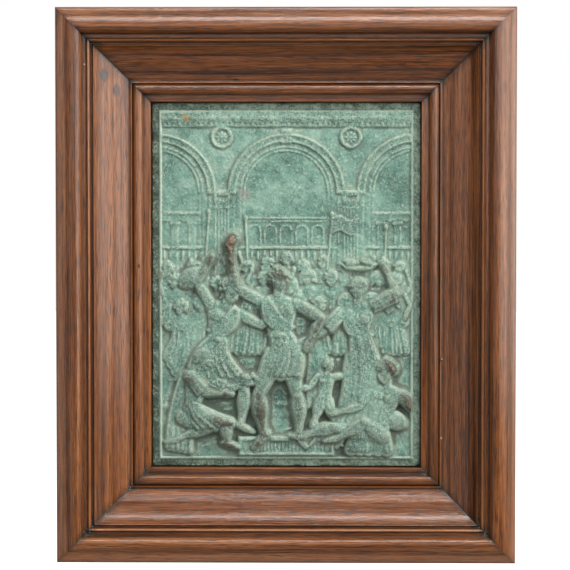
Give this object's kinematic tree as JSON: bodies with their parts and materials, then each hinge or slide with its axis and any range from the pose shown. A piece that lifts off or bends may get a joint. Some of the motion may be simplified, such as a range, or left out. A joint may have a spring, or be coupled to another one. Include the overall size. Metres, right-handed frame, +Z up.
{
  "type": "framed relief plaque",
  "caption": "Small cast bronze relief of a feast-day crowd before an arcade, laid in a mitred hardwood moulding frame with a backing board.",
  "frame": {"origin": "centre of the back, on the wall plane that the frame and its board lie against", "axes": "+Z up as it hangs, +Y into the wall, so the picture faces -Y; +X to the right seen from the front"},
  "size_m": [0.1766, 0.0222, 0.2136],
  "materials": {
    "frame_wood": "dark reddish brown hardwood with streaked grain, wax polished to a satin gloss, dark grime in the quirks and mitres",
    "board_wood": "plain sawn board, darkened and unpolished",
    "patinated_bronze": "cast bronze under a matt grey-green verdigris, darker in the hollows, rubbed to brown on the highest knees, heads and elbows"
  },
  "bodies": {
    "root": {"frame_rail_top": "frame_wood", "frame_rail_bottom": "frame_wood", "frame_stile_left": "frame_wood", "frame_stile_right": "frame_wood", "backing_board": "board_wood", "relief_plaque": "patinated_bronze"}
  },
  "joints": []
}
